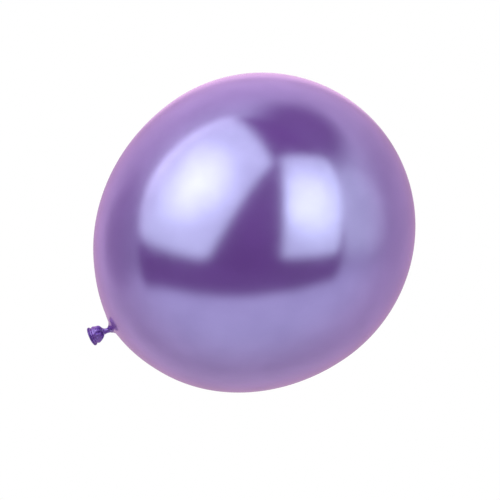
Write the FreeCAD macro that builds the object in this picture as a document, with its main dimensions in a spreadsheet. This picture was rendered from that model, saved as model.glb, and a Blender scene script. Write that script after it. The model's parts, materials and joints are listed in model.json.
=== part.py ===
"""A tied latex party balloon of the twelve inch size, blown up and lying on a table, neck down.

The real balloon is one dipped skin of latex. It is built here zone by zone, because each zone has
its own thickness and its own way of moving: the blown-up envelope, the thick spot at its crown, the
throat where the skin narrows, the twisted neck stem, the overhand knot (the strand inside it and the
wrap round it), the gathers that come out of the knot, and the open tail with the rolled bead at its
rim. The neck bends at three places: where the stem leaves the throat, where it enters the knot, and
where the tail hangs on the gathers. Each bend is a ball end in a round cup.

Every zone is a body of revolution about its own +Z, which runs from the crown towards the mouth.
The model's frame has +Z up and the table at Z = 0. Its origin is the middle of the flat that the
balloon's weight presses into the envelope, and the neck points towards -X. Millimetres, degrees.
"""
import FreeCAD, Part
import math
import os

import Sketcher

SIZES = {
    # envelope: half an ellipsoid on each side of its widest circle, with a hollow of the same kind
    "equator_radius": 145.0,
    "crown_rise": 147.5,        # from the widest circle to the crown
    "neck_rise": 168.5,         # from the widest circle to the pole that the neck grows out of
    "skin_wall": 0.35,
    "hollow_shift": 0.1235,      # the hollow sits this far towards the crown: the neck end is thicker
    "spot_radius": 8.0,         # thick spot at the crown, where the last of the dip gathers
    "spot_wall": 0.9,
    "neck_drop": 34.5,          # slope of the balloon's axis below the horizontal
    "patch_depth": 0.05,        # how far the balloon's weight flattens it: a flat about 8 across
    "patch_reach": 12.0,        # radius of the cut that makes the flat: well past the flat's own edge
    # throat
    "throat_radius": 12.0,
    "throat_top_radius": 3.2,
    "throat_lip": 1.2,          # width of the inner rim
    "throat_seat": 0.25,        # depth that sits in the envelope's hole
    "throat_hollow": 2.8,       # height of the hollow inside the throat
    # neck stem, from the pivot in the throat to the pivot in the knot
    "stem_radius": 2.3,
    "stem_length": 3.0,
    "stem_lift": 20.0,          # upward bend at the throat
    "joint_gap": 0.3,           # between a ball end and its cup
    "cup_open": 1.3,            # how far short of the pivot a cup of the stem's balls stops
    # knot, measured from its own pivot
    "core_radius": 3.0,
    "knot_length": 5.7,
    "knot_droop": 6.0,          # downward bend between the stem and the knot
    "wrap_radius": 1.9,         # section of the strand round the knot
    "wrap_proud": 0.9,          # how far it stands out of the core
    "wrap_place": 3.5,
    # gathers: the short bunch of folds between the knot and the tail's pivot
    "gather_radius": 2.6,
    "gather_tip_radius": 1.9,
    "gather_length": 1.0,
    # tail, measured from its own pivot
    "tail_droop": 6.0,          # downward bend between the knot and the tail
    "tail_cup_open": 1.1,
    "tail_root_radius": 2.5,
    "tail_dome_radius": 5.6,    # roundness of the tail's shoulder
    "tail_shoulder": 4.8,
    "tail_radius": 7.9,
    "tail_wall": 0.4,
    "tail_floor": 2.6,
    "tail_floor_radius": 5.4,
    "bead_place": 7.8,
    "bead_radius": 0.95,
    "bead_stand_out": 0.4,      # how far the middle of the bead's section is outside the tail
}
SHEET = "sizes"
LEFT, RIGHT = 1, -1             # the side of a profile's path that an arc's centre is on

document = FreeCAD.newDocument("latex_balloon")


class Size:
    """A length or an angle that holds its number and the sheet expression that gives it."""

    def __init__(self, number, text):
        self.number = number
        self.text = text

    @staticmethod
    def of(value):
        return value if isinstance(value, Size) else Size(float(value), repr(float(value)))

    def _with(self, other, sign, number):
        return Size(number, f"({self.text} {sign} {Size.of(other).text})")

    def __add__(self, other):
        return self._with(other, "+", self.number + Size.of(other).number)

    def __sub__(self, other):
        return self._with(other, "-", self.number - Size.of(other).number)

    def __mul__(self, other):
        return self._with(other, "*", self.number * Size.of(other).number)

    def __truediv__(self, other):
        return self._with(other, "/", self.number / Size.of(other).number)

    def __neg__(self):
        return Size(-self.number, f"(0 - {self.text})")

    def squared(self):
        return self * self

    def root(self):
        return Size(math.sqrt(self.number), f"sqrt({self.text})")

    def sine(self):
        return Size(math.sin(math.radians(self.number)), f"sin({self.text})")

    def cosine(self):
        return Size(math.cos(math.radians(self.number)), f"cos({self.text})")


def leg(hypotenuse, other_leg):
    """The third side of a right-angled triangle."""
    return (hypotenuse.squared() - other_leg.squared()).root()


def oval_height(across, rise, radius):
    """How far above its widest circle an ellipsoid is when it has narrowed to a radius."""
    return rise * leg(across, radius) / across


class Sheet:
    """The spreadsheet of driving dimensions. Each one is read as an attribute, as a Size."""

    def __init__(self, sizes):
        self.table = document.addObject("Spreadsheet::Sheet", SHEET)
        for row, (name, value) in enumerate(sizes.items(), start=1):
            self.table.set(f"A{row}", name)
            self.table.set(f"B{row}", str(value))
            self.table.setAlias(f"B{row}", name)
        document.recompute()

    def __getattr__(self, name):
        return Size(float(getattr(self.table, name)), f"{SHEET}.{name}")


sheet = Sheet(SIZES)


def bind(item, **properties):
    """Sets properties of a document object from Sizes, and ties them to the sheet."""
    for name, value in properties.items():
        size = Size.of(value)
        setattr(item, name, size.number)
        item.setExpression(name, size.text)
    return item


def place(item, after=None, x=0.0, z=0.0, turn=0.0):
    """Ties an object's Placement to the sheet: moved by (x, 0, z), then turned about +Y.

    With after, the move and the turn are made in the frame of that object.
    """
    x, z, turn = (Size.of(value).text for value in (x, z, turn))
    own = f"placement(vector({x}; 0; {z}); rotation(vector(0; 1; 0); {turn}))"
    item.setExpression("Placement", f"{after.Name}.Placement * {own}" if after else own)


class Profile:
    """Half of a body's lengthwise section: a closed path on its XZ plane, at x >= 0.

    The path starts at its first corner. line and arc go on to the next one, and every corner is held
    at its place by sheet expressions. close goes back to the start.
    """

    def __init__(self, body, x, z):
        self.sketch = body.newObject("Sketcher::SketchObject", f"{body.Name}_profile")
        plane = next(item for item in body.Origin.OriginFeatures if item.Role == "XZ_Plane")
        self.sketch.AttachmentSupport = [(plane, "")]
        self.sketch.MapMode = "FlatFace"
        self.corners = [(Size.of(x), Size.of(z))]
        self.last_side = None

    @staticmethod
    def _point(corner):
        return FreeCAD.Vector(corner[0].number, corner[1].number, 0)

    def _hold(self, corner, side, end):
        """Fixes one end of a side at a corner."""
        root, x_axis, z_axis = -1, -1, -2
        for kind, value, zero_line in (("DistanceX", corner[0], z_axis), ("DistanceY", corner[1], x_axis)):
            if abs(value.number) < 1e-9:
                self.sketch.addConstraint(Sketcher.Constraint("PointOnObject", side, end, zero_line))
                continue
            index = self.sketch.addConstraint(
                Sketcher.Constraint(kind, root, 1, side, end, value.number)
            )
            self.sketch.setExpression(f"Constraints[{index}]", value.text)

    def _add(self, curve, start_end):
        """Adds a side whose own end number start_end is at the path's present corner."""
        side = self.sketch.addGeometry(curve, False)
        self._hold(self.corners[-1], side, start_end)
        if self.last_side is None:
            self.first_end = start_end
        else:
            self.sketch.addConstraint(
                Sketcher.Constraint("Coincident", self.last_side, self.last_end, side, start_end)
            )
        self.last_side, self.last_end = side, 3 - start_end
        return side

    def line(self, x, z):
        corner = (Size.of(x), Size.of(z))
        self._add(Part.LineSegment(self._point(self.corners[-1]), self._point(corner)), 1)
        self.corners.append(corner)
        return self

    def arc(self, x, z, radius, centre_side):
        """A round side, shorter than a half circle, with its centre to the LEFT or RIGHT of the path."""
        corner = (Size.of(x), Size.of(z))
        start, end = self._point(self.corners[-1]), self._point(corner)
        chord = end - start
        across = FreeCAD.Vector(-chord.y, chord.x, 0).normalize() * centre_side
        centre = (start + end) / 2 + across * math.sqrt(radius.number**2 - (chord.Length / 2) ** 2)
        low, high = (start, end) if centre_side == LEFT else (end, start)
        angles = [math.atan2(point.y - centre.y, point.x - centre.x) for point in (low, high)]
        circle = Part.Circle(centre, FreeCAD.Vector(0, 0, 1), radius.number)
        start_end = 1 if centre_side == LEFT else 2
        side = self._add(Part.ArcOfCircle(circle, *angles), start_end)
        index = self.sketch.addConstraint(Sketcher.Constraint("Radius", side, radius.number))
        self.sketch.setExpression(f"Constraints[{index}]", radius.text)
        self.corners.append(corner)
        return self

    def oval(self, x, z, across, rise, centre_z, centre_side):
        """A side along an ellipse that is centred on the Z axis, with radii across and rise."""
        corner = (Size.of(x), Size.of(z))
        centre_z = Size.of(centre_z)
        centre = FreeCAD.Vector(0, centre_z.number, 0)
        out, up = FreeCAD.Vector(across.number, 0, 0), FreeCAD.Vector(0, rise.number, 0)
        tall = rise.number >= across.number
        long_end, short_end = (centre + up, centre - out) if tall else (centre + out, centre + up)
        ellipse = Part.Ellipse(long_end, short_end, centre)
        start, end = self._point(self.corners[-1]), self._point(corner)
        low, high = (start, end) if centre_side == LEFT else (end, start)
        first, last = ellipse.parameter(low), ellipse.parameter(high)
        if last < first:
            last += 2 * math.pi
        start_end = 1 if centre_side == LEFT else 2
        side = self._add(Part.ArcOfEllipse(ellipse, first, last), start_end)
        self.sketch.exposeInternalGeometry(side)
        long_axis, middle = side + 1, 3
        self.sketch.addConstraint(Sketcher.Constraint("Vertical" if tall else "Horizontal", long_axis))
        self._hold((Size.of(0), centre_z), side, middle)
        self.corners.append(corner)
        return self

    def close(self):
        """Joins the path's end to its first corner, with a line if it isn't there yet."""
        gap = self._point(self.corners[-1]) - self._point(self.corners[0])
        if gap.Length > 1e-9:
            self.line(*self.corners[0])
        self.sketch.addConstraint(
            Sketcher.Constraint("Coincident", self.last_side, self.last_end, 0, self.first_end)
        )
        return self.sketch


def turned(name, outline):
    """A body of revolution. outline(body) gives its closed Profile sketch."""
    body = document.addObject("PartDesign::Body", name)
    sketch = outline(body)
    feature = body.newObject("PartDesign::Revolution", f"{name}_turned")
    feature.Profile = sketch
    feature.ReferenceAxis = (sketch, ["V_Axis"])
    feature.Angle = 360.0
    body.Tip = feature
    return body


# ---- where things are, worked out from the sheet ----
# Height of the widest circle's centre above the table, before the weight flattens the skin.
support = (
    (sheet.neck_rise * sheet.neck_drop.sine()).squared()
    + (sheet.equator_radius * sheet.neck_drop.cosine()).squared()
).root()
pressed = support - sheet.patch_depth
# The flat's middle is not under that centre, but nearer the neck, because the neck end is longer.
lead = (
    (sheet.neck_rise.squared() - sheet.equator_radius.squared())
    * sheet.neck_drop.sine()
    * sheet.neck_drop.cosine()
    / support
    * pressed
    / support
)
axis_turn = -(sheet.neck_drop + 90)
throat_base = oval_height(sheet.equator_radius, sheet.neck_rise, sheet.throat_radius)
throat_top = throat_base + sheet.throat_radius - sheet.throat_top_radius
throat_pivot = throat_top + sheet.cup_open
stem_cup = sheet.stem_radius + sheet.joint_gap
stem_cup_mouth = leg(stem_cup, sheet.cup_open)
tail_pivot = sheet.knot_length + sheet.gather_length
tail_cup = sheet.gather_tip_radius + sheet.joint_gap
wrap_half_width = leg(sheet.wrap_radius, sheet.wrap_radius - sheet.wrap_proud)
bead_half_width = leg(sheet.bead_radius, sheet.bead_stand_out)


# ---- envelope and crown spot ----
hollow_across = sheet.equator_radius - sheet.skin_wall
hollow_crown_rise = sheet.crown_rise - sheet.skin_wall
hollow_neck_rise = sheet.neck_rise - sheet.skin_wall
hollow_middle = -sheet.hollow_shift
hollow_crown = hollow_middle - hollow_crown_rise


def envelope_outline(body):
    hollow_base = oval_height(hollow_across, hollow_neck_rise, sheet.throat_radius) + hollow_middle
    return (
        Profile(body, 0, -sheet.crown_rise)
        .oval(sheet.equator_radius, 0, sheet.equator_radius, sheet.crown_rise, 0, LEFT)
        .oval(sheet.throat_radius, throat_base, sheet.equator_radius, sheet.neck_rise, 0, LEFT)
        .line(sheet.throat_radius, hollow_base)
        .oval(hollow_across, hollow_middle, hollow_across, hollow_neck_rise, hollow_middle, RIGHT)
        .oval(0, hollow_crown, hollow_across, hollow_crown_rise, hollow_middle, RIGHT)
        .close()
    )


def press_flat(envelope):
    """Cuts off what would stand below the table, which is tilted in the envelope's own frame."""
    sketch = envelope.newObject("Sketcher::SketchObject", "table_outline")
    plane = next(item for item in envelope.Origin.OriginFeatures if item.Role == "XY_Plane")
    sketch.AttachmentSupport = [(plane, "")]
    sketch.MapMode = "FlatFace"
    across = -(pressed * sheet.neck_drop.cosine())
    along = pressed * sheet.neck_drop.sine()
    turn = f"rotation(vector(0; 1; 0); {(sheet.neck_drop - 90).text})"
    sketch.setExpression("AttachmentOffset", f"placement(vector({across.text}; 0; {along.text}); {turn})")
    # The circle's middle is on the foot of the widest circle's centre; the flat is lead away from it.
    centre = FreeCAD.Vector(0, 0, 0)
    circle = Part.Circle(centre, FreeCAD.Vector(0, 0, 1), (sheet.patch_reach + lead).number)
    side = sketch.addGeometry(circle, False)
    sketch.addConstraint(Sketcher.Constraint("Coincident", side, 3, -1, 1))
    index = sketch.addConstraint(
        Sketcher.Constraint("Radius", side, (sheet.patch_reach + lead).number)
    )
    sketch.setExpression(f"Constraints[{index}]", (sheet.patch_reach + lead).text)
    flat = envelope.newObject("PartDesign::Pocket", "rest_flat")
    flat.Profile = sketch
    bind(flat, Length=sheet.patch_reach)
    flat.Reversed = True            # away from the balloon: the sketch faces the table
    envelope.Tip = flat


def make_envelope():
    envelope = turned("envelope", envelope_outline)
    press_flat(envelope)
    place(envelope, x=lead, z=pressed, turn=axis_turn)
    return envelope


def crown_spot_outline(body):
    edge = hollow_middle - oval_height(hollow_across, hollow_crown_rise, sheet.spot_radius)
    face = sheet.spot_wall - sheet.crown_rise
    return (
        Profile(body, 0, hollow_crown)
        .oval(sheet.spot_radius, edge, hollow_across, hollow_crown_rise, hollow_middle, LEFT)
        .line(sheet.spot_radius, face)
        .line(0, face)
        .close()
    )


def make_crown_spot(envelope):
    spot = turned("crown_spot", crown_spot_outline)
    place(spot, after=envelope)
    return spot


# ---- throat ----
def throat_outline(body):
    flare = sheet.throat_radius - sheet.throat_top_radius
    return (
        Profile(body, sheet.throat_radius - sheet.throat_lip, throat_base - sheet.throat_seat)
        .line(sheet.throat_radius, throat_base - sheet.throat_seat)
        .line(sheet.throat_radius, throat_base)
        .arc(sheet.throat_top_radius, throat_top, flare, RIGHT)
        .line(stem_cup_mouth, throat_top)
        .arc(0, throat_pivot - stem_cup, stem_cup, RIGHT)
        .line(0, throat_base + sheet.throat_hollow)
        .close()
    )


# ---- neck stem ----
def stem_outline(body):
    radius, length = sheet.stem_radius, sheet.stem_length
    return (
        Profile(body, 0, -radius)
        .arc(radius, 0, radius, LEFT)
        .line(radius, length)
        .arc(0, length + radius, radius, LEFT)
        .close()
    )


# ---- knot and gathers ----
def core_outline(body):
    return (
        Profile(body, stem_cup_mouth, sheet.cup_open)
        .line(sheet.core_radius, sheet.cup_open)
        .line(sheet.core_radius, sheet.knot_length)
        .line(0, sheet.knot_length)
        .line(0, stem_cup)
        .arc(stem_cup_mouth, sheet.cup_open, stem_cup, RIGHT)
        .close()
    )


def wrap_outline(body):
    return (
        Profile(body, sheet.core_radius, sheet.wrap_place - wrap_half_width)
        .arc(sheet.core_radius, sheet.wrap_place + wrap_half_width, sheet.wrap_radius, LEFT)
        .close()
    )


def gathers_outline(body):
    return (
        Profile(body, 0, sheet.knot_length)
        .line(sheet.gather_radius, sheet.knot_length)
        .line(sheet.gather_tip_radius, tail_pivot)
        .arc(0, tail_pivot + sheet.gather_tip_radius, sheet.gather_tip_radius, LEFT)
        .close()
    )


# ---- tail and bead ----
def tail_outline(body):
    inside = sheet.tail_radius - sheet.tail_wall
    rim = sheet.bead_place + bead_half_width
    return (
        Profile(body, 0, tail_cup)
        .arc(leg(tail_cup, sheet.tail_cup_open), sheet.tail_cup_open, tail_cup, RIGHT)
        .line(sheet.tail_root_radius, sheet.tail_cup_open)
        .arc(sheet.tail_radius, sheet.tail_shoulder, sheet.tail_dome_radius, LEFT)
        .line(sheet.tail_radius, rim)
        .line(inside, rim)
        .line(inside, sheet.tail_shoulder)
        .line(sheet.tail_floor_radius, sheet.tail_floor)
        .line(0, sheet.tail_floor)
        .close()
    )


def bead_outline(body):
    return (
        Profile(body, sheet.tail_radius, sheet.bead_place - bead_half_width)
        .arc(sheet.tail_radius, sheet.bead_place + bead_half_width, sheet.bead_radius, LEFT)
        .close()
    )


def make_neck(envelope):
    """Everything outside the envelope, each frame hung on the one before it."""
    throat = turned("neck_throat", throat_outline)
    place(throat, after=envelope)
    stem = turned("neck_stem", stem_outline)
    place(stem, after=envelope, z=throat_pivot, turn=sheet.stem_lift)
    core = turned("knot_core", core_outline)
    place(core, after=stem, z=sheet.stem_length, turn=-sheet.knot_droop)
    wrap = turned("knot_wrap", wrap_outline)
    gathers = turned("knot_gathers", gathers_outline)
    tail = turned("tail_skirt", tail_outline)
    place(wrap, after=core)
    place(gathers, after=core)
    place(tail, after=core, z=tail_pivot, turn=-sheet.tail_droop)
    bead = turned("rolled_bead", bead_outline)
    place(bead, after=tail)
    return [throat, stem, core, wrap, gathers, tail, bead]


def check(parts):
    """Stops with a message if any feature failed, or any sub-part isn't one valid solid."""
    for item in document.Objects:
        if {"Invalid", "Error"} & set(item.State):
            raise RuntimeError(f"{item.Name} failed: {item.State}")
    for part in parts:
        if part.Shape.isNull() or not part.Shape.isValid():
            raise RuntimeError(f"{part.Label} has no valid shape")
        if len(part.Shape.Solids) != 1:
            raise RuntimeError(f"{part.Label} is {len(part.Shape.Solids)} solids")
    if not any(isinstance(face.Surface, Part.Plane) for face in parts[0].Shape.Faces):
        raise RuntimeError("the envelope has no flat to lie on")


def main():
    envelope = make_envelope()
    parts = [envelope, make_crown_spot(envelope), *make_neck(envelope)]
    document.recompute()
    check(parts)
    os.makedirs("parts", exist_ok=True)
    for part in parts:
        part.Shape.exportStep(f"parts/{part.Label}.step")
        box = part.Shape.optimalBoundingBox()
        print(
            f"{part.Label:14s} {part.Shape.Volume:10.2f} mm3"
            f"  x {box.XMin:8.2f} {box.XMax:8.2f}  z {box.ZMin:8.2f} {box.ZMax:8.2f}"
        )


main()
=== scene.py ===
# %% [markdown]
# # A tied chrome latex balloon
#
# The real balloon is one dipped skin of rubber. Blown up and tied, it becomes six things that look
# very different: the tight mirror-like envelope, the twisted neck, the overhand knot, the bunched
# gathers behind the knot, the flared tail, and the rolled bead round the mouth. Each one is modelled
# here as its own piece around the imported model, which fixes where everything is and how it bends.

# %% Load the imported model
import json
import math

import bpy
from mathutils import Matrix, Vector


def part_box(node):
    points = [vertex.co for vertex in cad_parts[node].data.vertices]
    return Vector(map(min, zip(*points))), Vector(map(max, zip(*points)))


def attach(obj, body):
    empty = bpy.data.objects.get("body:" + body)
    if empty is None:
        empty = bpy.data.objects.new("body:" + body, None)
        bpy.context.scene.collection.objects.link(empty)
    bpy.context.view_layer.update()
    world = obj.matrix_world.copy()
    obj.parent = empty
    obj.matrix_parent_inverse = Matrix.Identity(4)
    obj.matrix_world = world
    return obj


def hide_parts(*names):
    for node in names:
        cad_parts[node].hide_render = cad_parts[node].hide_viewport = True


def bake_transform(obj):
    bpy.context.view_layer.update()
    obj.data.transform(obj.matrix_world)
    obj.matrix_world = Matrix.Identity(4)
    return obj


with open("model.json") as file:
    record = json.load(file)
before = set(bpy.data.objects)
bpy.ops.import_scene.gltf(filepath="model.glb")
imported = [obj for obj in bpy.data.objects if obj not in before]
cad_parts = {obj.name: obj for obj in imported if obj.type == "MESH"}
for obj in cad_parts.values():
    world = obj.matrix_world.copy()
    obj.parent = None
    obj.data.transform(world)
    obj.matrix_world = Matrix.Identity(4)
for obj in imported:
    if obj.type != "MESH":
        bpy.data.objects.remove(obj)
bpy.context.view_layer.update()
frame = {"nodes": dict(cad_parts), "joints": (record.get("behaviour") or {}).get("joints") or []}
print("packed nodes:", sorted(frame["nodes"]))

# %% [markdown]
# ## Where things are
#
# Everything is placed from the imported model. Its three joints lie along the neck: one where the stem
# leaves the envelope, one where it enters the knot, and one where the tail hangs on the gathers. The
# mean of a turned node's corners is on its axis, so the crown spot and the bead give the two far ends
# of the line. With those five points the whole curve of the balloon's axis is known.

# %% Points along the balloon's axis
MM = 0.001


def middle(node):
    """A point on the axis of a turned node."""
    corners = [vertex.co for vertex in frame["nodes"][node].data.vertices]
    return sum(corners, Vector()) / len(corners)


joints = {joint["name"]: Vector(joint["pos_m"]) for joint in frame["joints"]}
NECK, KNOT, TAIL = joints["neck_nod"], joints["knot_sway"], joints["tail_nod"]
CROWN, MOUTH = middle("crown_spot"), middle("rolled_bead")
envelope_low, envelope_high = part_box("envelope")
EQUATOR_RADIUS = (envelope_high.y - envelope_low.y) / 2
CROWN_RISE = 147.5 * MM         # from the widest circle to the crown
NECK_RISE = 167 * MM            # from the widest circle to where the egg would close
PIVOT_RISE = 178.0 * MM         # from the widest circle to the neck's pivot
AXIS = (NECK - CROWN).normalized()
CENTRE = NECK - AXIS * PIVOT_RISE
ACROSS = Vector((0, 1, 0))      # level, and square to the plane that the axis bends in
print("widest circle:", CENTRE[:], "radius", EQUATOR_RADIUS)

# %% [markdown]
# ## The line of the neck
#
# The neck pieces are easiest to make upright, round a straight local Z that starts at the neck's
# pivot and runs to the mouth. Each is then laid along the real neck, which turns a little at each of
# the three joints. The turn is spread over two millimetres, because rubber doesn't bend at a point.

# %% Lay an upright piece along the neck
BEND_HALF = 1.0 * MM
KNOT_AT = (KNOT - NECK).length
TAIL_AT = KNOT_AT + (TAIL - KNOT).length
MOUTH_AT = TAIL_AT + (MOUTH - TAIL).length
STRETCHES = [(0.0, AXIS), (0.0, (KNOT - NECK).normalized()), (KNOT_AT, (TAIL - KNOT).normalized()),
             (TAIL_AT, (MOUTH - TAIL).normalized())]
STEP = 0.05 * MM
LINE_START, LINE_END = -30 * MM, 25 * MM


def slope(direction):
    """The angle of a direction in the plane that the axis bends in."""
    return math.atan2(direction.z, direction.x) % math.tau


def slope_at(along):
    """The neck's angle at a distance from its pivot, eased over each bend."""
    angle = slope(STRETCHES[0][1])
    for (_, before), (place, after) in zip(STRETCHES, STRETCHES[1:]):
        share = min(1, max(0, (along - place + BEND_HALF) / (2 * BEND_HALF)))
        angle += (slope(after) - slope(before)) * share
    return angle


neck_line = []
spot = NECK + AXIS * LINE_START
for index in range(round((LINE_END - LINE_START) / STEP) + 1):
    angle = slope_at(LINE_START + (index + 0.5) * STEP)
    forward = Vector((math.cos(angle), 0, math.sin(angle)))
    neck_line.append((spot.copy(), forward))
    spot += forward * STEP


def on_neck(local):
    """The place in the model of a point of an upright neck piece."""
    index = min(len(neck_line) - 1, max(0, round((local.z - LINE_START) / STEP)))
    base, forward = neck_line[index]
    upward = ACROSS.cross(forward)
    rest = local.z - (LINE_START + index * STEP)
    return base + forward * rest + upward * local.x + ACROSS * local.y


def lay_along_neck(piece):
    for vertex in piece.data.vertices:
        vertex.co = on_neck(vertex.co)
    piece.data.update()


print("mouth is", round(MOUTH_AT / MM, 2), "mm from the neck's pivot")

# %% [markdown]
# ## Turning a profile
#
# A balloon is dipped on a turned former, so most of its zones start as a spin. A small circle is
# merged to one corner, that corner is extruded along the profile point by point, as one would trace
# it by hand, and the line is spun round Z. Doubles are merged, so the seam and the poles close.

# %% Spin and finish helpers
MERGE = 0.004 * MM


def hold_only(piece):
    bpy.ops.object.select_all(action="DESELECT")
    piece.select_set(True)
    bpy.context.view_layer.objects.active = piece


def clean(piece):
    """Merges doubles and turns every face outwards."""
    hold_only(piece)
    bpy.ops.object.mode_set(mode="EDIT")
    bpy.ops.mesh.select_all(action="SELECT")
    bpy.ops.mesh.remove_doubles(threshold=MERGE)
    bpy.ops.mesh.normals_make_consistent(inside=False)
    bpy.ops.object.mode_set(mode="OBJECT")


def turned(name, profile, steps):
    """Spins a profile, a list of (radius, height) points with both ends on the axis, round Z."""
    bpy.ops.object.select_all(action="DESELECT")
    bpy.ops.mesh.primitive_circle_add(vertices=3, radius=MM, location=(profile[0][0], 0, profile[0][1]))
    piece = bpy.context.object
    piece.name = piece.data.name = name
    bpy.ops.object.transform_apply(location=True)
    bpy.ops.object.mode_set(mode="EDIT")
    bpy.ops.mesh.select_all(action="SELECT")
    bpy.ops.mesh.merge(type="CENTER")
    for last, point in zip(profile, profile[1:]):
        bpy.ops.mesh.extrude_region_move(
            TRANSFORM_OT_translate={"value": (point[0] - last[0], 0, point[1] - last[1])}
        )
    bpy.ops.mesh.select_all(action="SELECT")
    bpy.ops.mesh.spin(steps=steps, angle=math.tau, center=(0, 0, 0), axis=(0, 0, 1))
    bpy.ops.object.mode_set(mode="OBJECT")
    clean(piece)
    return piece


def finish(piece, levels):
    """Subdivides a piece smoothly and shades it smooth."""
    hold_only(piece)
    if levels:
        modifier = piece.modifiers.new("smooth", "SUBSURF")
        modifier.levels = modifier.render_levels = levels
        bpy.ops.object.modifier_apply(modifier=modifier.name)
    bpy.ops.object.shade_smooth()
    print(piece.name, len(piece.data.polygons), "faces")


def ease(low, high, value):
    """0 below low, 1 above high, and a smooth rise between them. Also works from high to low."""
    share = min(1, max(0, (value - low) / (high - low)))
    return share * share * (3 - 2 * share)


# %% [markdown]
# ## The strands of the twisted neck
#
# Where the skin narrows to a tied neck it has nowhere to go, so it folds into strands that wind
# round the neck. One function gives how far the surface stands out at an angle and a distance along
# the neck. The throat, both neck sleeves and the knot's core share it, so the folds run on from one
# piece to the next. Its three waves don't divide into each other, which keeps the folds uneven.

# %% Fold height
TWIST = math.radians(17) / MM   # how fast the strands wind round the neck
WAVES = ((5, 0.50, 0.4), (8, 0.32, 2.1), (13, 0.18, 5.0))


def fold(around, along):
    """From -1 in a valley to 1 on a ridge. Valleys are sharper than ridges, as in gathered rubber."""
    turn = TWIST * max(along, -5 * MM)
    wave = sum(share * math.cos(count * (around - turn) + phase) for count, share, phase in WAVES)
    return 1 - 2 * ((1 - wave) / 2) ** 1.6


print("fold at the pivot:", [round(fold(math.radians(a), 0), 2) for a in range(0, 360, 60)])

# %% [markdown]
# ## The envelope
#
# The blown-up skin is an egg: half an ellipsoid on the crown side and a longer one on the neck side,
# which runs out into a little trumpet where the neck starts. It could be a sculpted sphere, but a
# spun profile puts its rings square to the axis, with many close rings where the trumpet is. No real
# balloon is a perfect egg, so the turned skin is then pushed lopsided by one or two percent, a flat
# is pressed where it stands, and the skin near the neck is pulled into short pleats.

# %% Trace and spin the envelope
TRUMPET = ((10.6, 171.4), (9.0, 171.95), (7.6, 172.6), (6.3, 173.4), (5.3, 174.2), (4.5, 175.1),
           (3.9, 175.9), (3.3, 176.7), (2.75, 177.2), (2.2, 177.55), (1.2, 177.8), (0.0, 177.85))
EGG_END_RADIUS = 12.2 * MM
CONE_HEIGHT, CONE_REACH = 6 * MM, 70 * MM    # the neck pulls the end of the egg out into a cone
crown_side = [
    (EQUATOR_RADIUS * math.sin(step), -CROWN_RISE * math.cos(step))
    for step in (math.pi / 2 * index / 56 for index in range(57))
]
crown_side[0] = (0.0, -CROWN_RISE)
egg_end = math.acos(EGG_END_RADIUS / EQUATOR_RADIUS)


def pulled(radius):
    """How far the neck pulls the skin out at a distance from the axis."""
    return CONE_HEIGHT * max(0.0, 1 - radius / CONE_REACH) ** 1.6


neck_side = []
for index in range(1, 61):
    step = egg_end * (1 - (1 - index / 60) ** 1.25)
    radius = EQUATOR_RADIUS * math.cos(step)
    neck_side.append((radius, NECK_RISE * math.sin(step) + pulled(radius)))
trumpet = [(radius * MM, height * MM) for radius, height in TRUMPET]
envelope_skin = turned("envelope_skin", crown_side + neck_side + trumpet, 192)
print(envelope_skin.name, len(envelope_skin.data.polygons), "faces")

# %% Pleat the skin round the neck
PLEAT_START, PLEAT_END = 4.5 * MM, 24 * MM
PLEAT_HEIGHT = 0.42 * MM
for vertex in envelope_skin.data.vertices:
    radius = math.hypot(vertex.co.x, vertex.co.y)
    if vertex.co.z < 0 or radius > PLEAT_END or radius < 0.3 * MM:
        continue
    around = math.atan2(vertex.co.y, vertex.co.x)
    fade = ease(PLEAT_END, PLEAT_START, radius) ** 2
    height = PLEAT_HEIGHT * fade * fold(around, vertex.co.z - PIVOT_RISE)
    outward = Vector((vertex.co.x, vertex.co.y, 0)) / radius
    lean = ease(PLEAT_END / 2, PLEAT_START / 2, radius)
    vertex.co += height * (outward * lean + Vector((0, 0, 1)) * (1 - lean))
print("pleats reach", round(PLEAT_END / MM), "mm from the axis")

# %% Put the envelope in its place and make it a little lopsided
side = ACROSS.cross(AXIS)
envelope_skin.matrix_world = Matrix.Translation(CENTRE) @ Matrix((side, ACROSS, AXIS)).transposed().to_4x4()
hold_only(envelope_skin)
bpy.ops.object.transform_apply(location=True, rotation=True)

LOPSIDED_UNIT = 150 * MM
NECK_KEEP = 30 * MM             # the skin this near to the neck stays where the joints need it
FLAT_SOFTNESS = 0.8 * MM
FLAT_REACH = 20 * MM            # only the skin lower than this is pressed flat


def lopsided(x, z):
    """How much further than the turned egg the skin is from the centre, in two waves round it."""
    two_sided = -0.0112 * (x * x - z * z) + 0.0005 * 2 * x * z
    three_sided = 0.0024 * (x ** 3 - 3 * x * z * z) + 0.0017 * (3 * x * x * z - z ** 3)
    return 1 + two_sided + three_sided


for vertex in envelope_skin.data.vertices:
    arm = vertex.co - CENTRE
    share = ease(NECK_KEEP / 3, NECK_KEEP, (vertex.co - NECK).length)
    swell = lopsided(arm.x / LOPSIDED_UNIT, arm.z / LOPSIDED_UNIT) - 1
    vertex.co = CENTRE + arm * (1 + swell * share)
    lifted = math.sqrt(vertex.co.z ** 2 + FLAT_SOFTNESS ** 2)
    vertex.co.z = (vertex.co.z + lifted) / 2 if vertex.co.z < FLAT_REACH else vertex.co.z
envelope_skin.data.update()
finish(envelope_skin, 0)

# %% [markdown]
# ## The neck sleeves
#
# The stem is only as thick as a pencil lead, but it bends at both ends: at the throat and at the
# knot. A piece can blend between two bodies only, so the stem is two sleeves that meet in its middle.
# The first follows the envelope and the stem, and the second the stem and the knot. The end of the
# first one dives under the start of the second, so no gap can open.

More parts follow.
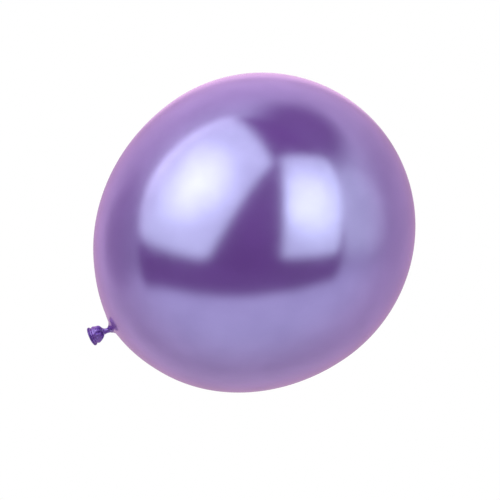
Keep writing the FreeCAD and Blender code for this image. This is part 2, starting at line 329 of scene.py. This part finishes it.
# %% Make the two sleeves
STEM_RADIUS = 2.3 * MM
STEM_FOLD = 0.30 * MM
SLEEVE_STEPS, SLEEVE_ROWS = 96, 26
JOIN_AT = 1.5 * MM
CAP_RADIUS = 1.2 * MM           # each end is a low dome with a shoulder this far out
CAP_SHOULDER, CAP_HEIGHT = 0.35 * MM, 0.5 * MM
THROAT_FLARE, KNOT_FLARE = 1.25 * MM, 0.5 * MM
TUCK_DEPTH, TUCK_LENGTH = 0.5 * MM, 0.4 * MM


def sleeve(name, start, end, under_end, widen):
    """An upright strand of neck from start to end, closed at both ends."""
    profile = [(0.0, start - CAP_HEIGHT), (CAP_RADIUS, start - CAP_SHOULDER)]
    for index in range(SLEEVE_ROWS + 1):
        along = start + (end - start) * index / SLEEVE_ROWS
        flare = THROAT_FLARE * ease(0.2 * MM, -3.2 * MM, along) + KNOT_FLARE * ease(2.2 * MM, 5 * MM, along)
        tuck = TUCK_DEPTH * ease(end - TUCK_LENGTH, end, along) if under_end else 0
        profile.append((STEM_RADIUS + flare - tuck + widen, along))
    profile += [(CAP_RADIUS, end + CAP_SHOULDER), (0.0, end + CAP_HEIGHT)]
    piece = turned(name, profile, SLEEVE_STEPS)
    for vertex in piece.data.vertices:
        radius = math.hypot(vertex.co.x, vertex.co.y)
        if radius > CAP_RADIUS + 0.1 * MM:
            around = math.atan2(vertex.co.y, vertex.co.x)
            grown = (radius + STEM_FOLD * fold(around, vertex.co.z)) / radius
            vertex.co.x, vertex.co.y = vertex.co.x * grown, vertex.co.y * grown
    lay_along_neck(piece)
    finish(piece, 0)
    return piece


neck_root = sleeve("neck_root", -2.6 * MM, JOIN_AT + TUCK_LENGTH, under_end=True, widen=0.0)
neck_twist = sleeve("neck_twist", JOIN_AT, 5.4 * MM, under_end=False, widen=0.02 * MM)

# %% [markdown]
# ## The knot
#
# A balloon is tied with one overhand knot pulled tight. From outside it shows as a fat band that
# goes round the neck at a slant, a thinner strand that crosses it and dives under, and between them
# the core that they squeeze. Rubber that is pulled and bunched keeps long creases, so a smooth ring
# would look like plastic. Each band is a torus, creased along its length by moving its corners in
# code as a sculpting brush would, made oval, and tilted.

# %% Creased bands
CREASES = ((0.2, 0.30, 0.50), (1.35, 0.24, 0.38), (-1.0, 0.28, 0.45), (2.5, 0.20, 0.40), (-2.3, 0.22, 0.40))


def creased(angle, around, drift):
    """How deep the creases are at an angle round a band's section. They drift as the band runs."""
    depth = 0
    for place, amount, width in CREASES:
        gap = (angle - place - drift * math.sin(around + place) + math.pi) % math.tau - math.pi
        depth += amount * math.exp(-((gap / width) ** 2)) * (0.75 + 0.25 * math.cos(2 * around + 3 * place))
    return depth


BAND_FATTER = 0.16              # how much fatter a band is on its fat side
BAND_LONG = 1.12                # its section is this much longer along the neck than across it
BAND_WAVE = 0.35 * MM
BAND_LIFT = 0.4 * MM            # the bands sit higher than the neck's middle
# crease depths where the painted fold shade begins and where it is full
CREASE_FAINT, CREASE_FULL = 0.10, 0.30


def band(name, at, ring, thick, fat_side, tilt, drift):
    """A band of bunched rubber round the neck: a torus with creases, fatter on one side, tilted."""
    bpy.ops.object.select_all(action="DESELECT")
    bpy.ops.mesh.primitive_torus_add(
        major_radius=ring, minor_radius=thick, major_segments=96, minor_segments=40
    )
    piece = bpy.context.object
    piece.name = piece.data.name = name
    # Each corner's crease depth is also kept on the mesh as painted fold shade, which darkens the latex in
    # the creases.
    shadow = piece.data.attributes.new("painted_fold_shade", "FLOAT", "POINT")
    for vertex in piece.data.vertices:
        around = math.atan2(vertex.co.y, vertex.co.x)
        centre = Vector((math.cos(around) * ring, math.sin(around) * ring, 0))
        arm = vertex.co - centre
        outward = centre.normalized()
        angle = math.atan2(arm.z, arm.dot(outward))
        depth = creased(angle, around, drift)
        size = 1 + BAND_FATTER * math.cos(around - fat_side) - depth
        shadow.data[vertex.index].value = ease(CREASE_FAINT, CREASE_FULL, depth)
        vertex.co = centre + outward * arm.dot(outward) * size + Vector((0, 0, arm.z * size * BAND_LONG))
        vertex.co.z += BAND_WAVE * math.sin(2 * around + fat_side)
    piece.rotation_euler = tilt
    piece.location = (BAND_LIFT, 0, at)
    hold_only(piece)
    bpy.ops.object.transform_apply(location=True, rotation=True)
    lay_along_neck(piece)
    finish(piece, 1)
    return piece


knot_band = band("knot_band", 5.4 * MM, 1.8 * MM, 1.6 * MM, math.radians(20),
                 (math.radians(12), math.radians(-14), 0), 0.5)
knot_cross = band("knot_crossing", 7.0 * MM, 2.25 * MM, 1.6 * MM, math.radians(10),
                  (math.radians(-14), math.radians(22), 0), 0.9)

# %% The core that the bands squeeze, and the gathers behind it
CORE = ((0.0, 3.9), (1.6, 4.05), (2.5, 4.5), (2.75, 5.2), (2.5, 6.2), (2.6, 7.2), (2.5, 8.0), (1.6, 8.5),
        (0.0, 8.6))
GATHER = ((0.0, 7.5), (1.8, 7.6), (2.5, 8.0), (2.45, 8.6), (2.6, 9.2), (3.1, 9.9), (2.4, 10.5), (1.2, 10.8),
          (0.0, 10.9))
STRAND_INNER, STRAND_OUTER = 0.4 * MM, 2 * MM    # strands grow from none to full between these radii


def strand_piece(name, profile, depth):
    """A spun piece whose surface carries the neck's strands."""
    piece = turned(name, [(radius * MM, height * MM) for radius, height in profile], 72)
    finish(piece, 1)
    for vertex in piece.data.vertices:
        radius = math.hypot(vertex.co.x, vertex.co.y)
        if radius > STRAND_INNER:
            around = math.atan2(vertex.co.y, vertex.co.x)
            share = ease(STRAND_INNER, STRAND_OUTER, radius)
            grown = (radius + depth * share * fold(around, vertex.co.z)) / radius
            vertex.co.x, vertex.co.y = vertex.co.x * grown, vertex.co.y * grown
    lay_along_neck(piece)
    return piece


knot_core = strand_piece("knot_core_strand", CORE, 0.30 * MM)
gather = strand_piece("gather", GATHER, 0.40 * MM)

# %% [markdown]
# ## The tail
#
# Past the knot the neck opens again like a small bell. It covers the knot's far side, widens in a
# cone to a round shoulder, and narrows a little before the bead. It is unstretched rubber, about half
# a millimetre thick, hollow, and open at the mouth. Its profile runs over the outside and back down
# the inside. The folds that the knot makes run out from its root. They are deep and uneven there and
# fade towards the mouth. A fold is given by its angle, depth, width and reach, with angle and width
# in degrees and the rest in millimetres. How deep each corner is pressed in is kept on the mesh too,
# as an attribute, so that shade can be painted into the folds: the latex is made darker there.

# %% Trace and spin the tail
TAIL_OUTSIDE = ((0.0, 8.4), (1.4, 7.7), (2.6, 7.2), (3.6, 7.0), (4.4, 7.3), (5.1, 7.9), (5.7, 8.6),
                (6.3, 9.5), (6.9, 10.4), (7.5, 11.3), (8.0, 12.1), (8.35, 12.8), (8.45, 13.4),
                (8.3, 13.95), (7.95, 14.45), (7.6, 14.9), (7.4, 15.4), (7.4, 15.9), (7.7, 16.5),
                (8.15, 17.05))
TAIL_INSIDE = ((7.85, 17.3), (7.2, 16.7), (6.8, 16.0), (6.75, 15.3), (6.95, 14.7), (7.35, 14.2),
               (7.85, 13.6), (7.9, 13.1), (7.55, 12.5), (7.05, 11.8), (6.55, 11.0), (6.15, 10.2),
               (5.75, 9.6), (5.1, 9.1), (4.2, 8.8), (3.0, 9.1), (1.6, 9.9), (0.0, 10.6))
FOLDS = ((-74, 2.3, 12, 11.4), (-38, 1.9, 11, 10.8), (-108, 0.7, 12, 12.4), (-142, 1.0, 14, 13.0),
         (-8, 0.9, 12, 12.6), (28, 1.3, 15, 12.6), (66, 1.0, 13, 13.2), (100, 1.4, 14, 12.2),
         (136, 0.9, 12, 13.0), (172, 1.1, 14, 12.8))
FOLD_ROOT, FOLD_FULL = 2.2 * MM, 4.6 * MM
FOLD_TOP = 8.9 * MM             # folds are at their deepest up to here
PUFF = 0.12                     # the wall between folds swells out by this share of their depth
PUFF_FROM = Vector((0, 0, 14.5 * MM))
LEAN = 0.6 * MM                 # the shoulder sits higher than the mouth
LEAN_FULL, LEAN_NONE = 8 * MM, 11.5 * MM
RIPPLE, FINE_RIPPLE = 0.10, 0.07    # in millimetres, for folds too faint to name
CREASE_LIGHT, CREASE_DARK = 0.4 * MM, 1.5 * MM    # fold depths where painted shade starts, and where it is full
OUT_OF_ROUND = 0.012            # the mouth and the bead are oval by this much
tail_profile = [(radius * MM, height * MM) for radius, height in TAIL_OUTSIDE + TAIL_INSIDE]
tail_skin = turned("tail_skirt_skin", tail_profile, 144)


def tail_fold(around, radius, along):
    """How far the tail's wall is pressed in by the folds at a place, and pushed out between them."""
    press = 0.0
    for place, depth, width, reach in FOLDS:
        gap = (math.degrees(around) - place + 180) % 360 - 180
        fade = ease(reach * MM, FOLD_TOP, along) * ease(FOLD_ROOT, FOLD_FULL, radius)
        press += depth * MM * fade * (math.exp(-((gap / width) ** 2)) - PUFF)
    return press


# How far each corner is pressed in is kept as painted fold shade, which darkens the latex in the folds.
painted_fold_shade = tail_skin.data.attributes.new("painted_fold_shade", "FLOAT", "POINT")
for vertex in tail_skin.data.vertices:
    radius = math.hypot(vertex.co.x, vertex.co.y)
    around = math.atan2(vertex.co.y, vertex.co.x)
    inwards = (PUFF_FROM - vertex.co).normalized()
    pressed = tail_fold(around, radius, vertex.co.z)
    painted_fold_shade.data[vertex.index].value = ease(CREASE_LIGHT, CREASE_DARK, pressed) if radius > FOLD_ROOT else 0.0
    vertex.co.x += LEAN * ease(LEAN_NONE, LEAN_FULL, vertex.co.z) * ease(0, 3 * MM, radius)
    vertex.co += inwards * pressed
    ripple = RIPPLE * math.sin(9 * around + 1.3) + FINE_RIPPLE * math.sin(14 * around + vertex.co.z / MM)
    stretch = 1 + (OUT_OF_ROUND * math.cos(2 * around + 0.7)) + ripple * MM / max(radius, 4 * MM)
    stretch = 1 + (stretch - 1) * ease(3 * MM, 6 * MM, radius)
    vertex.co.x, vertex.co.y = vertex.co.x * stretch, vertex.co.y * stretch
lay_along_neck(tail_skin)
finish(tail_skin, 1)

# %% [markdown]
# ## The rolled bead
#
# The mouth of a balloon is rolled on itself while the rubber is still tacky. The roll is a ring a
# little under two millimetres thick. It isn't smooth: the layers leave fine lines that run round it,
# and the roll is tighter in some places than in others. A torus is the right start, and its section
# is then changed all the way round.

# %% Roll the bead
BEAD_RING, BEAD_RADIUS = 8.3 * MM, 0.95 * MM
bpy.ops.object.select_all(action="DESELECT")
bpy.ops.mesh.primitive_torus_add(
    major_radius=BEAD_RING, minor_radius=BEAD_RADIUS, major_segments=180, minor_segments=32,
    location=(0, 0, MOUTH_AT),
)
bead = bpy.context.object
bead.name = bead.data.name = "bead_roll"
bpy.ops.object.transform_apply(location=True)
ROLL_LINES = (0.5, 1.5, 2.6, -0.6, -1.7)    # where the roll's lines are, round its section
LINE_DEPTH, LINE_WIDTH, LINE_DRIFT = 0.07, 0.16, 0.25
BEAD_WAVE = 0.18 * MM
for vertex in bead.data.vertices:
    around = math.atan2(vertex.co.y, vertex.co.x)
    outward = Vector((math.cos(around), math.sin(around), 0))
    centre = outward * BEAD_RING + Vector((0, 0, MOUTH_AT))
    arm = vertex.co - centre
    angle = math.atan2(arm.z, arm.dot(outward))
    size = 1 + 0.05 * math.sin(3 * around + 0.5) + 0.03 * math.sin(7 * around + 2)
    for place in ROLL_LINES:
        gap = (angle - place - LINE_DRIFT * math.sin(around + place) + math.pi) % math.tau - math.pi
        size -= LINE_DEPTH * math.exp(-((gap / LINE_WIDTH) ** 2))
    oval = 1 + OUT_OF_ROUND * math.cos(2 * around + 0.7)
    vertex.co = outward * BEAD_RING * oval + Vector((0, 0, MOUTH_AT)) + arm * size
    vertex.co.z += BEAD_WAVE * math.sin(2 * around + 1.1)
lay_along_neck(bead)
finish(bead, 1)

# %% [markdown]
# ## Writing a finish
#
# A finish is a small sum: so much noise, faded by so much distance, added to a base roughness. It is
# easier to read as a sum than as a chain of nodes, so a node's output is wrapped in a small class
# that has arithmetic. Every other node is added by one method, which takes the kind of node, its
# settings, and then what goes into its sockets.

# %% Signals and finishes
class Signal:
    """A node's output that arithmetic works on."""

    def __init__(self, finish, socket):
        self.finish = finish
        self.socket = socket

    def _maths(self, operation, first, second):
        return self.finish.node("ShaderNodeMath", {"operation": operation}, {0: first, 1: second})

    def __add__(self, other):
        return self._maths("ADD", self, other)

    __radd__ = __add__

    def __sub__(self, other):
        return self._maths("SUBTRACT", self, other)

    def __rsub__(self, other):
        return self._maths("SUBTRACT", other, self)

    def __mul__(self, other):
        return self._maths("MULTIPLY", self, other)

    __rmul__ = __mul__

    def __pow__(self, other):
        return self._maths("POWER", self, other)


class Finish:
    """A tree of shader nodes under construction."""

    def __init__(self, tree):
        self.tree = tree
        self.tree.nodes.clear()

    def node(self, kind, settings=None, inputs=None, output=0):
        """Adds a node, sets it up, fills its sockets with values or links, and gives an output."""
        made = self.tree.nodes.new(kind)
        for name, value in (settings or {}).items():
            setattr(made, name, value)
        for name, value in (inputs or {}).items():
            if isinstance(value, Signal):
                self.tree.links.new(value.socket, made.inputs[name])
            else:
                made.inputs[name].default_value = value
        return Signal(self, made.outputs[output])

    def smooth(self, value, low, high):
        """0 below low, 1 above high, smooth between."""
        settings = {"interpolation_type": "SMOOTHSTEP"}
        return self.node("ShaderNodeMapRange", settings, {"Value": value, "From Min": low, "From Max": high})

    def blend(self, share, first, second):
        """A colour between two colours."""
        return self.node("ShaderNodeMix", {"data_type": "RGBA"}, {0: share, 6: first, 7: second}, output=2)

    def end(self, kind, surface):
        """Adds the tree's output node."""
        self.tree.links.new(surface.socket, self.tree.nodes.new(kind).inputs["Surface"])

    def dot(self, vector, direction):
        settings = {"operation": "DOT_PRODUCT"}
        return self.node("ShaderNodeVectorMath", settings, {0: vector, 1: direction}, output="Value")

    def distance(self, vector, point):
        settings = {"operation": "DISTANCE"}
        return self.node("ShaderNodeVectorMath", settings, {0: vector, 1: point[:]}, output="Value")


print("finishes are ready")

# %% [markdown]
# ## Chrome latex
#
# The chrome look comes from two things in the same skin. Flakes of mica lie flat in it and mirror the
# room with a soft, slightly blue shine. Between and under them, dyed rubber scatters light and gives
# the deep purple that shows wherever the room is dark. So the finish is a metal shader and a rubber
# shader, mixed by about half. How much of the metal shows changes a little from place to place, since
# the flakes never spread evenly, and so does how sharply they mirror. Skin that isn't stretched, at
# the neck and tail, holds more dye per area and is deeper and duller, and it keeps fine wrinkles.
# Little light gets into a deep fold and out again, so shade is painted there: both colours darken with the
# painted_fold_shade attribute.

# %% Latex finishes
WHITE = (1.0, 1.0, 1.0, 1.0)


def shade(red, green, blue):
    return (red, green, blue, 1.0)


def scaled(colour, share):
    """A colour made darker or lighter, never past full."""
    return shade(*(min(1.0, share * channel) for channel in colour))


FLAKE_SIZE, GRAIN_SIZE, FILM_SIZE, CLOUD_SIZE = 0.45 * MM, 1.4 * MM, 9 * MM, 38 * MM
RUBBER_ROUGHNESS, RUBBER_IOR = 0.34, 1.52
BUMP_DISTANCE = 0.05 * MM


def latex(name, pearl, pearl_edge, dye, flake_share, mirror_roughness, wrinkle, deep=0.0):
    """Rubber with mica flakes. deep is how much darker the skin gets close to the neck and crown."""
    material = bpy.data.materials.new(name)
    material.use_nodes = True
    look = Finish(material.node_tree)
    place = look.node("ShaderNodeTexCoord", output="Object")

    def noise(size, detail=2.0, rough=0.5):
        inputs = {"Vector": place, "Scale": 1 / size, "Detail": detail, "Roughness": rough}
        return look.node("ShaderNodeTexNoise", {"normalize": True}, inputs)

    flakes = noise(FLAKE_SIZE, 3.0, 0.6)
    clouds = noise(CLOUD_SIZE, 3.0, 0.55)
    film = noise(FILM_SIZE)
    grain = noise(GRAIN_SIZE)

    # Thick, little stretched skin by the neck and at the crown spot.
    from_neck = look.distance(place, NECK)
    from_crown = look.distance(place, CROWN)
    thick = (1 - look.smooth(from_neck, 4 * MM, 13 * MM)) * deep
    thick = thick + (1 - look.smooth(from_crown, 3 * MM, 15 * MM)) * deep * 0.45

    # Painted shade: both colours below darken in the folds, by the fold attribute kept on the mesh.
    painted_fold_shade = look.node("ShaderNodeAttribute", {"attribute_name": "painted_fold_shade"}, output="Fac")

    tone = (clouds - 0.5) * 0.22 + (flakes - 0.5) * 0.16
    pearl_colour = look.blend(look.smooth(tone, -0.12, 0.12), scaled(pearl, 0.90), scaled(pearl, 1.08))
    pearl_colour = look.blend(thick, pearl_colour, scaled(pearl, 0.62))
    pearl_colour = look.blend(painted_fold_shade, pearl_colour, scaled(pearl, 0.16))
    dye_colour = look.blend(look.smooth(clouds, 0.3, 0.7), scaled(dye, 0.92), scaled(dye, 1.06))
    dye_colour = look.blend(thick, dye_colour, scaled(dye, 0.72))
    dye_colour = look.blend(painted_fold_shade, dye_colour, scaled(dye, 0.22))

    height = grain * 0.35 + flakes * 0.2 + film * wrinkle
    bump = look.node("ShaderNodeBump", None, {
        "Strength": 0.10 + 0.25 * min(1.0, wrinkle), "Distance": BUMP_DISTANCE, "Height": height,
    })
    metal = look.node("ShaderNodeBsdfPrincipled", None, {
        "Base Color": pearl_colour, "Metallic": 1.0, "Specular Tint": shade(*pearl_edge),
        "Roughness": (film - 0.5) * 0.05 + (flakes - 0.5) * 0.06 + mirror_roughness,
        "Normal": bump,
    })
    rubber = look.node("ShaderNodeBsdfPrincipled", None, {
        "Base Color": dye_colour, "Metallic": 0.0, "Roughness": (film - 0.5) * 0.08 + RUBBER_ROUGHNESS,
        "IOR": RUBBER_IOR, "Normal": bump,
    })
    share = (clouds - 0.5) * 0.10 + (flakes - 0.5) * 0.10 + flake_share
    mixed = look.node("ShaderNodeMixShader", None, {0: share, 1: rubber, 2: metal})
    look.end("ShaderNodeOutputMaterial", mixed)
    return material


PEARL, PEARL_EDGE, DYE = (0.61, 0.64, 0.98), (0.83, 0.60, 0.70), (0.34, 0.10, 0.64)
SLACK_PEARL, SLACK_EDGE, SLACK_DYE = (0.42, 0.30, 0.78), (0.60, 0.40, 0.66), (0.24, 0.06, 0.46)
KNOT_PEARL, KNOT_EDGE, KNOT_DYE = (0.36, 0.25, 0.68), (0.56, 0.36, 0.62), (0.20, 0.05, 0.40)
ROLL_PEARL, ROLL_EDGE, ROLL_DYE = (0.30, 0.20, 0.60), (0.50, 0.32, 0.58), (0.17, 0.04, 0.34)
stretched = latex("chrome_latex_stretched", PEARL, PEARL_EDGE, DYE,
                  flake_share=0.55, mirror_roughness=0.17, wrinkle=0.05, deep=1.0)
slack_latex = latex("chrome_latex_slack", SLACK_PEARL, SLACK_EDGE, SLACK_DYE,
                    flake_share=0.42, mirror_roughness=0.34, wrinkle=0.9)
knot_latex = latex("chrome_latex_knotted", KNOT_PEARL, KNOT_EDGE, KNOT_DYE,
                   flake_share=0.40, mirror_roughness=0.34, wrinkle=1.2)
bead_latex = latex("chrome_latex_rolled", ROLL_PEARL, ROLL_EDGE, ROLL_DYE,
                   flake_share=0.38, mirror_roughness=0.36, wrinkle=0.7)
for piece, material in ((envelope_skin, stretched), (neck_root, slack_latex), (neck_twist, slack_latex),
                        (knot_band, knot_latex), (knot_cross, knot_latex), (knot_core, knot_latex),
                        (gather, knot_latex), (tail_skin, slack_latex), (bead, bead_latex)):
    piece.data.materials.clear()
    piece.data.materials.append(material)
    print(piece.name, "wears", material.name)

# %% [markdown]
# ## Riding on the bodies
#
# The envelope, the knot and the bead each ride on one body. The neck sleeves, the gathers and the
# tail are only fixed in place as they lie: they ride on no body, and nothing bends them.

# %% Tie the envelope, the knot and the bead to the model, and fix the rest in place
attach(envelope_skin, "envelope_body")
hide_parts("envelope", "crown_spot", "neck_throat")


def neck_point(along):
    return on_neck(Vector((0, 0, along)))[:]


def bend_between(piece, before, after, start, end):
    neck_point(start)
    neck_point(end)
    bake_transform(piece)


THROAT_BEND, KNOT_BEND = 1.5 * MM, 1.4 * MM    # how far each side of its joint the span reaches; nothing is bent over it
SHOULDER_BEND = (7.4 * MM, 13.0 * MM)
bend_between(neck_root, "envelope_body", "stem_body", -THROAT_BEND, THROAT_BEND)
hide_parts("neck_stem")
bend_between(neck_twist, "stem_body", "knot_body", KNOT_AT - KNOT_BEND, KNOT_AT + KNOT_BEND)
for piece, node in ((knot_band, "knot_wrap"), (knot_cross, "knot_wrap"), (knot_core, "knot_core")):
    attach(piece, "knot_body")
    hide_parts(node)
bend_between(gather, "knot_body", "tail_body", *SHOULDER_BEND)
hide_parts("knot_gathers")
bend_between(tail_skin, "knot_body", "tail_body", *SHOULDER_BEND)
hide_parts("tail_skirt")
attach(bead, "tail_body")
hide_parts("rolled_bead")

# %% [markdown]
# ## The camera
#
# The camera looks a little down on the balloon, with the neck to the left. Its lens is long, so the
# balloon isn't stretched, and it is aimed just below and to the left of the balloon's centre.

# %% Camera
AZIMUTH, ELEVATION, DISTANCE = math.radians(6), math.radians(10), 1.5
LENS, SENSOR = 114.3, 36.0      # both in millimetres, as are the next two
AIM_LEFT, AIM_DOWN = 9.75, 19.69
AIM = CENTRE + Vector((-AIM_LEFT * math.cos(AZIMUTH), -AIM_LEFT * math.sin(AZIMUTH), -AIM_DOWN)) * MM
towards = Vector((math.sin(AZIMUTH) * math.cos(ELEVATION), -math.cos(AZIMUTH) * math.cos(ELEVATION),
                  math.sin(ELEVATION)))
rightward = Vector((math.cos(AZIMUTH), math.sin(AZIMUTH), 0))
upward = towards.cross(rightward)
camera_data = bpy.data.cameras.new("camera")
camera_data.lens, camera_data.sensor_width = LENS, SENSOR
camera = bpy.data.objects.new("camera", camera_data)
camera.matrix_world = (Matrix.Translation(AIM + towards * DISTANCE)
                       @ Matrix((rightward, upward, towards)).transposed().to_4x4())
bpy.context.scene.collection.objects.link(camera)
bpy.context.scene.camera = camera
print("camera at", [round(value, 3) for value in camera.matrix_world.translation])

# %% [markdown]
# ## The studio
#
# A mirror-like balloon is lit by what it mirrors. The studio is a white tent with two big softboxes
# in front, left and right, a dark gap between and below them, a dark opening high on the right, and a
# pale table. It is painted on the world by direction. Each softbox is the space inside a ring of
# planes through the balloon, with soft edges, and it is hottest at its lamp. The dark gap ends where
# the table begins, at the right wall, and level with the balloon. Directions are named by how far
# right, how far up and how far towards the camera they point. The lens itself sees plain white.

# %% Paint the two softboxes on the world
world = bpy.data.worlds.new("studio")
world.use_nodes = True
bpy.context.scene.world = world
studio = Finish(world.node_tree)
looking = studio.node("ShaderNodeTexCoord", output="Generated")


def direction(right, up, near):
    return (rightward * right + upward * up + towards * near).normalized()


def inside_corners(corners, edge):
    """1 in the directions inside a ring of corners, given in turn, and 0 outside, with a soft edge."""
    corners = [direction(*corner) for corner in corners]
    middle_way = sum(corners, Vector())
    inside = None
    for corner, following in zip(corners, corners[1:] + corners[:1]):
        wall = corner.cross(following).normalized()
        wall = wall if wall.dot(middle_way) > 0 else -wall
        part = studio.smooth(studio.dot(looking, wall[:]), -edge, edge)
        inside = part if inside is None else inside * part
    return inside


def near_to(spot, low, high):
    """1 in the direction of a spot, falling to 0 where the cosine of the way to it is down to low."""
    return studio.smooth(studio.dot(looking, direction(*spot)[:]), low, high)


BOX_EDGE = 0.075
LAMP_SPREAD = 0.58              # how far from its lamp a softbox glows, in radians
LEFT_CORNERS = ((-1.0, 0.02, 0.07), (-0.56, -0.31, 0.77), (0.13, 0.72, 0.68), (-0.25, 0.97, 0.0),
                (-0.84, 0.53, -0.11))
LEFT_LAMP = (-0.67, 0.52, 0.54)
RIGHT_CORNERS = ((0.20, 0.77, 0.61), (0.25, -0.36, 0.90), (0.85, -0.28, 0.50), (0.87, 0.22, 0.46),
                 (0.66, 0.68, 0.33))
RIGHT_LAMP = (0.56, 0.26, 0.78)


def softbox(corners, lamp, dim, bright):
    """A softbox: dim near its edges and bright at its lamp."""
    glow = studio.node("ShaderNodeMapRange", None, {
        "Value": studio.dot(looking, direction(*lamp)[:]),
        "From Min": math.cos(LAMP_SPREAD), "From Max": 1.0,
    })
    return inside_corners(corners, BOX_EDGE) * (glow ** 2 * (bright - dim) + dim)


left_box = softbox(LEFT_CORNERS, LEFT_LAMP, 1.22, 2.55)
right_box = softbox(RIGHT_CORNERS, RIGHT_LAMP, 1.14, 2.4)
print("two softboxes")

# %% Paint the dark gap, the walls and the table's light
nearness = studio.dot(looking, direction(0, 0, 1)[:])
height_way = studio.dot(looking, (0.0, 0.0, 1.0))
side_way = studio.dot(looking, direction(1, 0, 0)[:])

above_table = studio.smooth(height_way - side_way ** 2 * 0.26, -0.67, -0.55)
left_of_wall = near_to((-0.469, -0.105, 0.878), -0.06, 0.06)
front_gap = above_table * left_of_wall * studio.smooth(nearness, -0.03, 0.10)
top_gap = near_to((0.38, 0.90, 0.18), 0.82, 0.97) * 0.92
dark = 1 - (1 - front_gap * 0.97) * (1 - top_gap)

WALL_LIGHT, DARK_DEPTH = 0.44, 0.95
ceiling = studio.smooth(height_way, 0.2, 0.7) * 0.22
table_light = studio.smooth(height_way, -0.2, -0.5) * studio.smooth(nearness, -0.9, 0.5) * 0.36
rear_light = studio.smooth(nearness, -0.35, -0.85) * (0.38 - studio.smooth(side_way, 0.0, 0.7) * 0.16)
left_dip = 1 - near_to((-0.95, 0.06, -0.30), 0.88, 0.98) * 0.36
right_lift = near_to((0.96, 0.12, 0.22), 0.86, 0.98) * 0.34
walls = (ceiling + table_light + rear_light + WALL_LIGHT) * left_dip + right_lift
rear_box = near_to((0.0, 0.35, -0.94), 0.95, 0.985) * 0.72
room = walls * (1 - dark * DARK_DEPTH) + rear_box

# Light from the boxes is a little blue, from the table bluer, and from behind the balloon warm.
TABLE_TINT, BOX_TINT, REAR_TINT = shade(0.89, 0.88, 1.0), shade(0.92, 1.0, 1.0), shade(1.0, 0.83, 0.92)
front_tint = studio.blend(studio.smooth(height_way, -0.4, -0.1), TABLE_TINT, BOX_TINT)
tint = studio.blend(studio.smooth(nearness, 0.3, -0.5), front_tint, REAR_TINT)
light = studio.node("ShaderNodeVectorMath", {"operation": "SCALE"},
                    {0: tint, "Scale": left_box + right_box + room})
seen = studio.node("ShaderNodeLightPath", output="Is Camera Ray")
colour = studio.blend(seen, light, WHITE)
background = studio.node("ShaderNodeBackground", None, {"Color": colour, "Strength": 1.0})
studio.end("ShaderNodeOutputWorld", background)
print("studio nodes:", len(world.node_tree.nodes))

# %% [markdown]
# ## The table
#
# The table is a plain pale sheet, so bright in front of the lens that it fades into the tent behind
# it and shows no shadow. The studio already has the table's light in it, and the dark gap in front of
# it, so the mesh itself is left out of what the skin mirrors.

# %% Table
TABLE_SIZE = 3.0
bpy.ops.object.select_all(action="DESELECT")
bpy.ops.mesh.primitive_plane_add(size=TABLE_SIZE)
table = bpy.context.object
table.name = table.data.name = "table"
table.visible_glossy = table.visible_diffuse = False
table_material = bpy.data.materials.new("table_white")
table_material.use_nodes = True
sheet_look = Finish(table_material.node_tree)
matte = sheet_look.node("ShaderNodeBsdfDiffuse", None, {"Color": shade(0.62, 0.60, 0.62)})
bright = sheet_look.node("ShaderNodeEmission", None, {"Color": WHITE, "Strength": 1.0})
from_lens = sheet_look.node("ShaderNodeLightPath", output="Is Camera Ray")
sheet_mix = sheet_look.node("ShaderNodeMixShader", None, {0: from_lens, 1: matte, 2: bright})
sheet_look.end("ShaderNodeOutputMaterial", sheet_mix)
table.data.materials.append(table_material)
print("the table is", TABLE_SIZE, "m wide and isn't a piece of the balloon")

# %% How colours are shown
bpy.context.scene.view_settings.view_transform = "Standard"
print("shown with:", bpy.context.scene.view_settings.view_transform)
